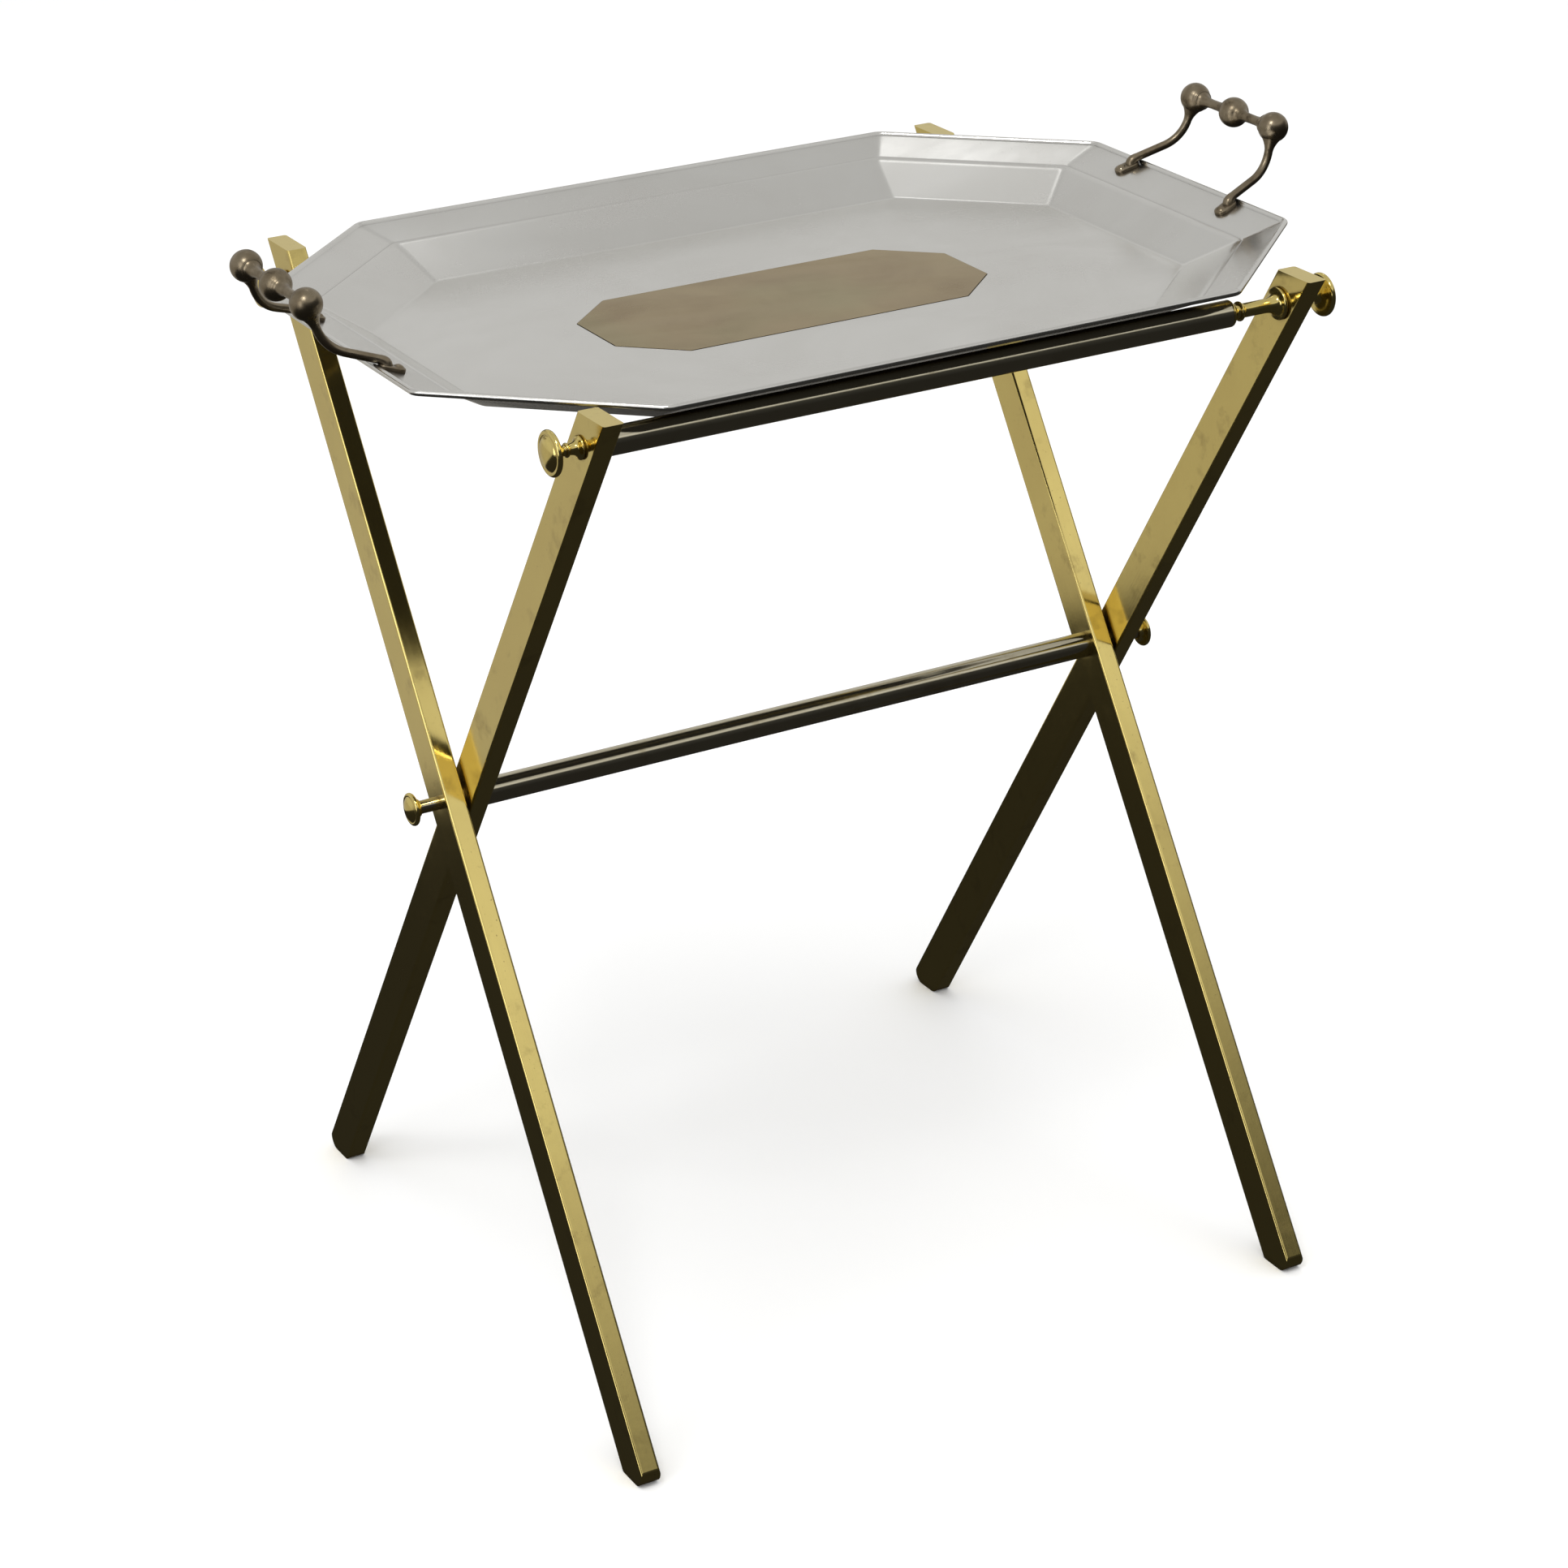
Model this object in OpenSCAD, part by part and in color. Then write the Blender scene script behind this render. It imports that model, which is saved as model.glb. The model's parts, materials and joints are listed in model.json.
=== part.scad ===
// Folding tray table: an X-shaped stand of rectangular brass tube that carries a lift-off tray.
// Origin on the floor under the pivot, +Z up, +X along the axle, front at -Y.
// The front frame is the rear frame turned half a circle about +Z.

/* [Legs] */
// Width of a leg across its broad side
leg_w = 26; // [24:1:28]
// Thickness of a leg, measured along the axle
leg_t = 12.5; // [11:0.5:13]
// Wall of the leg tube
leg_wall = 1.2; // [1:0.1:2]
// Radius of the leg tube's outer corners
leg_corner = 1.6; // [1:0.1:2.5]
// Angle between an open leg and the floor, in degrees
leg_angle = 57; // [56:0.5:58]
// Distance along a leg from the floor to the pivot
leg_lower = 409; // [400:1:425]
// Height of the leg tips above the pivot
tip_rise = 292; // [291:1:293]
// Distance from the middle of the stand to an outer leg's outer face
stand_half = 240; // [236:1:244]
// Gap between an outer leg and the inner leg beside it
leg_gap = 1.4; // [1.2:0.1:2]
// Height of a leg's top cap
cap_h = 3; // [2:0.5:4]
// Height of the rounded foot that shows under a leg
foot_h = 13; // [12.5:0.5:16]
// Radius of a foot's toe and heel
foot_r = 8; // [6:0.5:8]
// Depth of the cap's and foot's plugs inside the tube
plug_h = 8; // [6:1:10]

/* [Rods] */
// Distance along a leg from the pivot to the tray rod
rod_reach = 325; // [323:1:326]
// Radius of the stretcher and of the two tray rods
tube_r = 8; // [7.5:0.1:8.2]
// Wall of those tubes
tube_wall = 2; // [1.5:0.1:2.5]
// Radius of the threaded tie rod inside a tray rod
tie_r = 2.5; // [2:0.1:3]
// Radius of the axle
axle_r = 4; // [3.5:0.1:4.5]
// Radial play of every shaft in its hole
fit = 0.05; // [0.02:0.01:0.1]
// Length of the turned spool between a tray rod and its outer leg
spool_len = 37; // [34:0.5:40]
// Thickness of the collar where a tray rod meets its inner leg
collar_t = 3; // [2:0.5:4]

/* [Knobs] */
// Radius of the disc on a tray rod's knob
knob_r = 13; // [11:0.5:13]
// Distance from the leg to the near side of that disc
knob_reach = 16; // [14:0.5:17]
// Radius of the disc on a pivot knob
pivot_knob_r = 10; // [8:0.5:11]
// Distance from the outer leg to the pivot knob's hub
pivot_knob_reach = 12.5; // [11:0.5:14]

/* [Tray] */
// Half of the tray's length over the rim
rim_a = 288.5; // [287:0.5:289]
// Half of the tray's width over the rim
rim_b = 200; // [198:0.5:202]
// Length taken off each long side by a corner cut
cut_x = 105; // [104:1:107]
// Length taken off each short side by a corner cut
cut_y = 98; // [97:1:100]
// Height of the rim's top above the pivot
rim_rise = 293.5; // [293:0.1:294]
// Height of the crease between the flange and the well's wall, above the pivot
crease_rise = 282.6; // [282.5:0.1:283]
// Height of the tray's floor above the pivot
floor_rise = 267.5; // [266:0.5:268]
// Thickness of the tray's sheet
sheet_t = 1.4; // [1.2:0.1:1.5]
// Width of the folded edge round the rim
bead_w = 2.6; // [2:0.1:3]
// Half of the brass inlay's length
inlay_a = 125; // [115:1:130]
// Half of the brass inlay's width
inlay_b = 54.5; // [50:0.5:58]
// Thickness of the brass inlay
inlay_t = 0.9; // [0.8:0.1:1]

/* [Handles] */
// Distance from the tray's middle to the middle of a handle's grip
grip_x = 320; // [316:1:322]
// Height of a grip's middle above the pivot
grip_rise = 331.5; // [329:0.5:334]
// Distance between neighbouring balls of a grip
ball_step = 41; // [39:1:42]
// Radius of a grip's balls
ball_r = 9.3; // [9:0.1:9.6]
// Radius of a grip's necks
neck_r = 2.9; // [2.5:0.1:3.5]
// Distance from the tray's middle to the middle of a handle's foot
pad_x = 277.5; // [277:0.1:277.8]
// Distance of a handle's feet to either side of the tray's length
pad_y = 53; // [50:1:55]
// Radius of a handle's arms
arm_r = 2.7; // [2.4:0.1:2.8]
// Turn of an arm between the flange and the grip, in degrees
arm_sweep = 54; // [50:1:58]

/* [Hidden] */
$fn = 48;

brass = "#c9a84c";
dark_brass = "#6f6552";
silver = "#c0bfbb";

// Heights and places of the stand
pivot_z = leg_lower * sin(leg_angle);
tip_z = pivot_z + tip_rise;
outer_x = stand_half - leg_t;
inner_x = outer_x - leg_gap - leg_t;
rod_y = rod_reach * cos(leg_angle);
rod_z = pivot_z + rod_reach * sin(leg_angle);
spool_end = outer_x - spool_len;
tube_bore_r = tube_r - tube_wall;
spigot_len = 5;
bush_len = 12;
clear = 0.3;

// Tray rings: half length, half width, scale of the corner cut, height
rim_z = pivot_z + rim_rise;
rim = [rim_a, rim_b, 1, rim_z];
crease = [256, 175, 0.835, pivot_z + crease_rise];
well = [233, 142, 0.696, pivot_z + floor_rise];
inlay_cut = 0.31;
bead_up = 0.9;
bead_down = 1.6;

// Handle feet on the sloping end flange
bead_drop = 0.9;
seat_gap = 0.03;
flange_angle = atan((rim[3] - bead_drop - crease[3]) / (rim[0] - bead_w - crease[0]));
pad_z = crease[3] + (pad_x - crease[0]) * tan(flange_angle) + seat_gap;
pad_len = 16;
pad_r = 4.6;
pad_t = 2.4;
screw_at = -3.8;
screw_r = 1.5;
nut_r = 3.2;
nut_t = 2.4;
flange_t = sheet_t * cos(flange_angle);

// An arm in the plane that stands on the flange: u along the flange, w square to it
grip_du = grip_x - pad_x;
grip_dz = pivot_z + grip_rise - pad_z;
arm_u = norm([grip_du * cos(flange_angle) + grip_dz * sin(flange_angle), pad_y - ball_step]);
arm_w = grip_dz * cos(flange_angle) - grip_du * sin(flange_angle);
arm_splay = asin((pad_y - ball_step) / arm_u);
arm_lift = 4.4;
arm_end = 15;
arm_seat = 7.9;
arm_flare_r = 4.8;
arm_bend_r = (arm_w - arm_lift - arm_end * sin(arm_sweep)) / (1 - cos(arm_sweep));
arm_start = arm_u - arm_bend_r * sin(arm_sweep) - arm_end * cos(arm_sweep);
spigot_r = 2;

// ---- Helpers ----

// The front frame is the rear frame turned about the stand's middle
module turned() {
    rotate([0, 0, 180])
        children();
}

// Local +Z along world +X, at the pivot's or a tray rod's height
module at_axle(x) {
    translate([x, 0, pivot_z])
        rotate([0, 90, 0])
            children();
}

module at_rod(x) {
    translate([x, rod_y, rod_z])
        rotate([0, 90, 0])
            children();
}

// Local +Z up a rear leg, from the pivot
module lean() {
    translate([0, 0, pivot_z])
        rotate([leg_angle - 90, 0, 0])
            children();
}

// Slab between two heights
module level(low, high) {
    translate([-stand_half * 2, -stand_half * 2, low])
        cube([stand_half * 4, stand_half * 4, high - low]);
}

module rounded_section(size, r) {
    translate([r, 0])
        square([size[0] - 2 * r, size[1]]);
    translate([0, r])
        square([size[0], size[1] - 2 * r]);
    for (x = [r, size[0] - r], y = [r, size[1] - r])
        translate([x, y])
            circle(r);
}

// Bar with a leg's outline, drawn in on all four sides
module leg_bar(x, inset) {
    corner = max(leg_corner - inset, 0.4);
    length = leg_lower * 2.2;
    lean()
        translate([x + inset, inset - leg_w / 2, -length / 2])
            linear_extrude(length)
                rounded_section([leg_t - 2 * inset, leg_w - 2 * inset], corner);
}

// Points of an arc round c, angles in degrees
function arc_points(c, r, from, to) = [
    for (k = [0:8])
        c + r * [cos(from + (to - from) * k / 8), sin(from + (to - from) * k / 8)]
];

// Block with the rounded toe and heel of a rear foot, right across the stand
module sole() {
    half = leg_w / 2 / sin(leg_angle) + 0.2;
    toe = [-half + foot_r / tan(leg_angle / 2), foot_r];
    heel = [half - foot_r * tan(leg_angle / 2), foot_r];
    toe_arc = arc_points(toe, foot_r, 90 + leg_angle, 270);
    translate([-stand_half * 2, -pivot_z / tan(leg_angle), 0])
        rotate([90, 0, 90])
            linear_extrude(stand_half * 4)
                polygon(concat(
                    arc_points(heel, foot_r, 270, 270 + leg_angle),
                    [[half + 60, 70], [toe_arc[0][0], 70]],
                    toe_arc
                ));
}

// Points of a tray octagon, counter-clockwise
function octagon(a, b, s) = [
    [a, -b + cut_y * s], [a, b - cut_y * s], [a - cut_x * s, b], [-a + cut_x * s, b],
    [-a, b - cut_y * s], [-a, -b + cut_y * s], [-a + cut_x * s, -b], [a - cut_x * s, -b]
];

// A ring moved up by dz and drawn in evenly by d on all eight sides
function moved(ring, d, dz) = [
    ring[0] - d,
    ring[1] - d,
    ring[2] - d * (cut_x + cut_y - norm([cut_x, cut_y])) / (cut_x * cut_y),
    ring[3] + dz
];

// Closed skin through a list of tray rings, from the underside's middle out and back in
module ring_skin(rings) {
    n = 8;
    last = len(rings) - 1;
    points = [for (r = rings) for (p = octagon(r[0], r[1], r[2])) [p[0], p[1], r[3]]];
    sides = [
        for (k = [0:last - 1]) for (i = [0:n - 1])
            [k * n + i, (k + 1) * n + i, (k + 1) * n + (i + 1) % n, k * n + (i + 1) % n]
    ];
    bottom = [for (i = [0:n - 1]) i];
    top = [for (i = [0:n - 1]) last * n + n - 1 - i];
    polyhedron(points, concat(sides, [bottom, top]));
}

// Spherical cap of radius r and height h, its flat side at z = 0
module dome(r, h) {
    ball = (r * r + h * h) / (2 * h);
    intersection() {
        translate([0, 0, h - ball])
            sphere(ball, $fn = 96);
        cylinder(h = h, r = r);
    }
}

// Turned disc with a rounded edge and a domed front, its back at z = 0
module knob_disc(r, edge, dome_h) {
    cylinder(h = 2 * edge, r = r - edge);
    translate([0, 0, edge])
        rotate_extrude()
            translate([r - edge, 0])
                circle(edge);
    translate([0, 0, 2 * edge])
        dome(r - edge, dome_h);
}

// ---- Stand ----

module leg(x) {
    color(brass)
        difference() {
            intersection() {
                leg_bar(x, 0);
                level(foot_h, tip_z - cap_h);
            }
            leg_bar(x, leg_wall);
            at_axle(x - 1)
                cylinder(h = leg_t + 2, r = axle_r + fit);
            at_rod(x - 1)
                cylinder(h = leg_t + 2, r = tie_r + fit);
        }
}

module leg_cap(x) {
    color(brass) {
        intersection() {
            leg_bar(x, 0);
            level(tip_z - cap_h, tip_z);
        }
        intersection() {
            leg_bar(x, leg_wall + fit);
            level(tip_z - cap_h - plug_h, tip_z - cap_h);
        }
    }
}

module leg_foot(x) {
    color(brass) {
        intersection() {
            leg_bar(x, 0);
            level(0, foot_h);
            sole();
        }
        intersection() {
            leg_bar(x, leg_wall + fit);
            level(foot_h, foot_h + plug_h);
        }
    }
}

module axle() {
    reach = stand_half + pivot_knob_reach + 4;
    color(brass)
        at_axle(-reach)
            cylinder(h = 2 * reach, r = axle_r);
}

// Knob on the axle's +X end
module pivot_knob() {
    hub_h = 3;
    color(brass)
        difference() {
            at_axle(stand_half + pivot_knob_reach) {
                cylinder(h = hub_h, r1 = axle_r + 1.2, r2 = axle_r + 2.5);
                translate([0, 0, hub_h])
                    knob_disc(pivot_knob_r, 1.5, 2.4);
            }
            at_axle(stand_half)
                cylinder(h = pivot_knob_reach + 4, r = axle_r + fit);
        }
}

module washer_pair() {
    thickness = leg_gap - 2 * clear;
    color(brass)
        for (side = [0, 180])
            rotate([0, 0, side])
                difference() {
                    at_axle(outer_x - leg_gap + clear)
                        cylinder(h = thickness, r = 10);
                    at_axle(inner_x)
                        cylinder(h = stand_half - inner_x, r = axle_r + fit);
                }
}

// Tube between the two inner legs, fast to the rear frame's one on the right
module stretcher() {
    color(brass)
        difference() {
            at_axle(clear - inner_x)
                cylinder(h = 2 * inner_x - clear, r = tube_r);
            at_axle(-inner_x)
                cylinder(h = 2 * inner_x + 1, r = tube_bore_r);
        }
}

module stretcher_bush(x) {
    color(dark_brass)
        difference() {
            at_axle(x)
                cylinder(h = bush_len, r = tube_bore_r - fit);
            at_axle(x - 1)
                cylinder(h = bush_len + 2, r = axle_r + fit);
        }
}

// ---- Tray rods: the rear one has its outer leg on the left ----

module rod_tube() {
    length = spool_end + inner_x - collar_t;
    color(brass)
        difference() {
            at_rod(-spool_end)
                cylinder(h = length, r = tube_r);
            at_rod(-spool_end - 1)
                cylinder(h = length + 2, r = tube_bore_r);
        }
}

module tie_rod() {
    grip = 5;
    color(dark_brass)
        at_rod(-stand_half - grip)
            cylinder(h = stand_half + inner_x + leg_t + 2 * grip, r = tie_r);
}

// Turned spacer: a collar on the outer leg, a slim neck and a flare that plugs into the tube
module rod_spool() {
    neck = 4.2;
    color(brass)
        difference() {
            union() {
                at_rod(-outer_x) {
                    cylinder(h = 2.6, r = 9.6);
                    translate([0, 0, 2.6])
                        cylinder(h = 6, r1 = 8.4, r2 = neck + 0.3);
                    cylinder(h = spool_len - 1, r = neck);
                    translate([0, 0, spool_len - 8])
                        cylinder(h = 6, r1 = neck + 0.3, r2 = tube_r - 1);
                    translate([0, 0, spool_len - 2.2])
                        cylinder(h = 2.2, r = tube_r);
                }
                at_rod(-spool_end - 1)
                    cylinder(h = spigot_len + 1, r = tube_bore_r - fit);
            }
            at_rod(-outer_x - 1)
                cylinder(h = spool_len + spigot_len + 2, r = tie_r + fit);
        }
}

module rod_collar() {
    flare = 1.2;
    color(brass)
        difference() {
            union() {
                at_rod(inner_x - collar_t + flare)
                    cylinder(h = collar_t - flare, r = tube_r + 1.4);
                at_rod(inner_x - collar_t)
                    cylinder(h = flare, r1 = tube_r, r2 = tube_r + 1.4);
                at_rod(inner_x - collar_t - spigot_len)
                    cylinder(h = spigot_len + 1, r = tube_bore_r - fit);
            }
            at_rod(inner_x - collar_t - spigot_len - 1)
                cylinder(h = collar_t + spigot_len + 2, r = tie_r + fit);
        }
}

// Knob that ends a tray rod, pointing along local +Z from the leg's face
module rod_knob() {
    collar_h = 6.5;
    shaft_r = 3.5;
    color(brass)
        difference() {
            union() {
                cylinder(h = 1.4, r = 6.8);
                translate([0, 0, 1.4])
                    cylinder(h = collar_h - 1.4, r1 = 6, r2 = shaft_r);
                cylinder(h = knob_reach, r = shaft_r);
                translate([0, 0, knob_reach - 3])
                    cylinder(h = 3, r1 = shaft_r, r2 = 7.5);
                translate([0, 0, knob_reach])
                    knob_disc(knob_r, 1.7, 3.2);
            }
            translate([0, 0, -1])
                cylinder(h = collar_h, r = tie_r + fit);
        }
}

module outer_knob() {
    at_rod(-stand_half)
        mirror([0, 0, 1])
            rod_knob();
}

module inner_knob() {
    at_rod(inner_x + leg_t)
        rod_knob();
}

// ---- Tray ----

module tray() {
    edge_low = moved(rim, 0, -sheet_t - bead_down);
    edge_high = moved(rim, 0, bead_up);
    color(silver)
        difference() {
            ring_skin([
                moved(well, 0, -sheet_t),
                moved(crease, 0, -sheet_t),
                moved(rim, bead_w, -sheet_t - bead_drop),
                moved(edge_low, bead_w, 0),
                moved(edge_low, 0, 0),
                edge_high,
                moved(edge_high, bead_w, 0),
                moved(rim, bead_w, -bead_drop),
                crease,
                well
            ]);
            translate([0, 0, well[3] - inlay_t + 0.2])
                linear_extrude(inlay_t)
                    polygon(octagon(inlay_a + fit, inlay_b + fit, inlay_cut));
            at_pads()
                translate([screw_at, 0, -sheet_t * 2])
                    cylinder(h = sheet_t * 3, r = screw_r + fit);
        }
}

module inlay() {
    color(brass)
        translate([0, 0, well[3] - inlay_t + 0.2])
            linear_extrude(inlay_t)
                polygon(octagon(inlay_a, inlay_b, inlay_cut));
}

// ---- Handles ----

// One handle foot's place: local +Z square to the flange, local +X up its slope
module at_pad(side_x, side_y) {
    mirror([side_x < 0 ? 1 : 0, 0, 0])
        mirror([0, side_y < 0 ? 1 : 0, 0])
            translate([pad_x, pad_y, pad_z])
                rotate([0, -flange_angle, 0])
                    rotate([0, 0, -arm_splay])
                        children();
}

module at_pads() {
    for (side_x = [-1, 1], side_y = [-1, 1])
        at_pad(side_x, side_y)
            children();
}

// Where an arm meets its ball: local +Z from the ball's middle down the arm
module at_arm_end() {
    translate([arm_u, 0, arm_w])
        rotate([0, -90 - arm_sweep, 0])
            children();
}

module arm_shape() {
    flare_len = arm_end - arm_seat;
    difference() {
        union() {
            translate([-pad_len / 2, -pad_r, 0])
                linear_extrude(pad_t)
                    rounded_section([pad_len, 2 * pad_r], pad_r - 0.4);
            translate([pad_len / 2 - pad_r - 0.3, 0, 0.5])
                cylinder(h = arm_lift + arm_r + 0.1, r = arm_r + 0.7);
            translate([pad_len / 2 - pad_r, 0, arm_lift])
                rotate([0, 90, 0])
                    cylinder(h = arm_start - pad_len / 2 + pad_r, r = arm_r);
            translate([arm_start, 0, arm_lift + arm_bend_r])
                rotate([90, 0, 0])
                    rotate([0, 0, -90])
                        rotate_extrude(angle = arm_sweep)
                            translate([arm_bend_r, 0])
                                circle(arm_r);
            at_arm_end() {
                translate([0, 0, arm_seat])
                    cylinder(h = flare_len + 0.4, r1 = arm_flare_r, r2 = arm_r + 0.3);
                translate([0, 0, arm_seat - 3])
                    cylinder(h = 4, r = spigot_r);
            }
        }
        translate([screw_at, 0, -1])
            cylinder(h = pad_t + 2, r = screw_r + fit);
    }
}

module arm(side_x, side_y) {
    color(dark_brass)
        at_pad(side_x, side_y)
            arm_shape();
}

// Three balls on one turned bar, with a seat for each arm
module grip(side_x) {
    flare_len = 7;
    flare_r = 5.6;
    color(dark_brass)
        difference() {
            translate([side_x * grip_x, 0, pivot_z + grip_rise])
                rotate([90, 0, 0]) {
                    for (step = [-1, 0, 1])
                        translate([0, 0, step * ball_step])
                            sphere(ball_r);
                    translate([0, 0, -ball_step])
                        cylinder(h = 2 * ball_step, r = neck_r);
                    for (side = [0, 1], from = [0, ball_step])
                        mirror([0, 0, side])
                            translate([0, 0, from == 0 ? ball_r - 2 : from - ball_r - flare_len + 2])
                                cylinder(
                                    h = flare_len,
                                    r1 = from == 0 ? flare_r : neck_r,
                                    r2 = from == 0 ? neck_r : flare_r
                                );
                }
            for (side_y = [-1, 1])
                at_pad(side_x, side_y)
                    at_arm_end() {
                        translate([0, 0, arm_seat - fit])
                            cylinder(h = ball_r, r = arm_flare_r + fit);
                        translate([0, 0, arm_seat - 3.4])
                            cylinder(h = ball_r, r = spigot_r + fit);
                    }
        }
}

module screws() {
    head_r = 3.2;
    head_h = 1.6;
    below = flange_t + nut_t + 0.8;
    color(brass)
        at_pads()
            translate([screw_at, 0, 0]) {
                translate([0, 0, -below])
                    cylinder(h = below + pad_t + 0.5, r = screw_r);
                translate([0, 0, pad_t])
                    dome(head_r, head_h);
            }
}

module nuts() {
    color(dark_brass)
        at_pads()
            translate([screw_at, 0, -flange_t - nut_t - 3 * seat_gap])
                difference() {
                    cylinder(h = nut_t, r = nut_r, $fn = 6);
                    translate([0, 0, -1])
                        cylinder(h = nut_t + 2, r = screw_r + fit);
                }
}

// ---- Sub-parts ----

leg(-stand_half);  // rear_leg_left
leg(inner_x);  // rear_leg_right
turned() leg(inner_x);  // front_leg_left
turned() leg(-stand_half);  // front_leg_right
leg_cap(-stand_half);  // rear_cap_left
leg_cap(inner_x);  // rear_cap_right
turned() leg_cap(inner_x);  // front_cap_left
turned() leg_cap(-stand_half);  // front_cap_right
leg_foot(-stand_half);  // rear_foot_left
leg_foot(inner_x);  // rear_foot_right
turned() leg_foot(inner_x);  // front_foot_left
turned() leg_foot(-stand_half);  // front_foot_right
axle();  // axle_rod
turned() pivot_knob();  // pivot_knob_left
pivot_knob();  // pivot_knob_right
washer_pair();  // pivot_washers
stretcher();  // stretcher_tube
stretcher_bush(clear - inner_x);  // stretcher_bush_left
stretcher_bush(inner_x - bush_len);  // stretcher_bush_right
rod_tube();  // rear_rod_tube
tie_rod();  // rear_tie_rod
rod_spool();  // rear_rod_spool
rod_collar();  // rear_rod_collar
outer_knob();  // rear_knob_left
inner_knob();  // rear_knob_right
turned() rod_tube();  // front_rod_tube
turned() tie_rod();  // front_tie_rod
turned() rod_spool();  // front_rod_spool
turned() rod_collar();  // front_rod_collar
turned() inner_knob();  // front_knob_left
turned() outer_knob();  // front_knob_right
tray();  // tray_body
inlay();  // inlay_plate
grip(-1);  // handle_grip_left
grip(1);  // handle_grip_right
arm(-1, -1);  // arm_left_front
arm(-1, 1);  // arm_left_rear
arm(1, -1);  // arm_right_front
arm(1, 1);  // arm_right_rear
screws();  // handle_screws
nuts();  // handle_nuts
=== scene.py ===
"""Looks of a folding tray table: finer turned and sheet pieces, metals, a pale studio and the camera."""
import json
from math import atan2, cos, pi, radians, sin, sqrt

import bpy
from mathutils import Matrix, Vector


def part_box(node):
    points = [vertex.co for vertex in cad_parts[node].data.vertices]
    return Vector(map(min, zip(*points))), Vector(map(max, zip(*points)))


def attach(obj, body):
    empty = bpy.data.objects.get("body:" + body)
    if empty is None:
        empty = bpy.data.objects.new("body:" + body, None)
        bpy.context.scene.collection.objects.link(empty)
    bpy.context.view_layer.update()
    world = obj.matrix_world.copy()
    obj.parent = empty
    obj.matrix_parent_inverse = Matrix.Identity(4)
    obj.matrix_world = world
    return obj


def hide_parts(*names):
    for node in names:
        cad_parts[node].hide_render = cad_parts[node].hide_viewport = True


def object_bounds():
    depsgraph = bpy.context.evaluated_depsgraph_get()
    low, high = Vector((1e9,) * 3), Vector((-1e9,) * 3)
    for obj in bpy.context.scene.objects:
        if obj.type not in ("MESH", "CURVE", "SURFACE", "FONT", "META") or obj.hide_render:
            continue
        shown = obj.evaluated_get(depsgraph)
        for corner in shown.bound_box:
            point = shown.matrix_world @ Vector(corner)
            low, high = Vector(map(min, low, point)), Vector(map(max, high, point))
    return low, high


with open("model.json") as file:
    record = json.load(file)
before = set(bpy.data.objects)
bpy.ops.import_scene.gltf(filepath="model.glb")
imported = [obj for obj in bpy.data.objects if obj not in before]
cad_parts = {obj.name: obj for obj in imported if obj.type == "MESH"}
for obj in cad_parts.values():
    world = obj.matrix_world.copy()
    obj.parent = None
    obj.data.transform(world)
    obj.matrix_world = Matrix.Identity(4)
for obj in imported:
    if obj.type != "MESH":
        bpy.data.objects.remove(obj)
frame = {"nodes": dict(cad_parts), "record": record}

cad_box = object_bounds()
nodes = frame["nodes"]
MM = 0.001


def centre(node):
    """Middle of a CAD node's box."""
    low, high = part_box(node)
    return (Vector(low) + Vector(high)) / 2


# ---------------------------------------------------------------- places and sizes, from the frame

PIVOT_Z = centre("axle_rod").z
ROD = centre("rear_rod_tube")
STAND_HALF = -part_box("rear_leg_left")[0][0]
INNER_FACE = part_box("rear_leg_right")[1][0]
INNER_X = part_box("rear_leg_right")[0][0]
OUTER_X = -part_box("rear_leg_left")[1][0]
LEG_LEAN = radians(33)

TRAY_HIGH = Vector(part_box("tray_body")[1])
CUT = Vector((105, 98)) * MM
BEAD_R = 1.9 * MM
RIM_Z = TRAY_HIGH.z - 0.9 * MM
SHEET = 1.4 * MM
RIM = (TRAY_HIGH.x, TRAY_HIGH.y, 1.0, RIM_Z)
CREASE = (256 * MM, 175 * MM, 0.835, RIM_Z - 10.9 * MM)
WELL = (233 * MM, 142 * MM, 0.696, RIM_Z - 26 * MM)
FLANGE_RUN = RIM[0] - 2.6 * MM - CREASE[0]
FLANGE_RISE = 10.0 * MM
INLAY = (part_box("inlay_plate")[1][0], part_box("inlay_plate")[1][1], 0.31, WELL[3])
INLAY_RECESS = 0.7 * MM

# ---------------------------------------------------------------- mesh helpers


def make_piece(name, verts, faces, body, material, replaces=(), smooth_angle=40):
    """A mesh object that rides on a body and takes a material."""
    mesh = bpy.data.meshes.new(name)
    mesh.from_pydata([tuple(v) for v in verts], [], faces)
    mesh.validate()
    mesh.update()
    piece = bpy.data.objects.new(name, mesh)
    bpy.context.scene.collection.objects.link(piece)
    mesh.materials.append(material)
    mesh.shade_smooth()
    mesh.set_sharp_from_angle(angle=radians(smooth_angle))
    weighted = piece.modifiers.new("even normals", "WEIGHTED_NORMAL")
    weighted.keep_sharp = True
    weighted.weight = 100
    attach(piece, body)
    if replaces:
        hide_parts(*replaces)
    return piece


def grid_faces(rows, columns, start=0):
    """Quads between closed rows of points."""
    faces = []
    for row in range(rows - 1):
        for k in range(columns):
            after = (k + 1) % columns
            base = start + row * columns
            faces.append((base + k, base + after, base + columns + after, base + columns + k))
    return faces


def bend(a, corner, b, steps):
    """Points of a smooth turn from a to b round a corner, for tuples of any length."""
    out = []
    for k in range(steps + 1):
        t = k / steps
        weights = ((1 - t) ** 2, 2 * t * (1 - t), t * t)
        out.append(tuple(sum(w * p[i] for w, p in zip(weights, (a, corner, b))) for i in range(len(a))))
    return out


def mixed(a, b, t):
    return tuple(x + (y - x) * t for x, y in zip(a, b))


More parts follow.
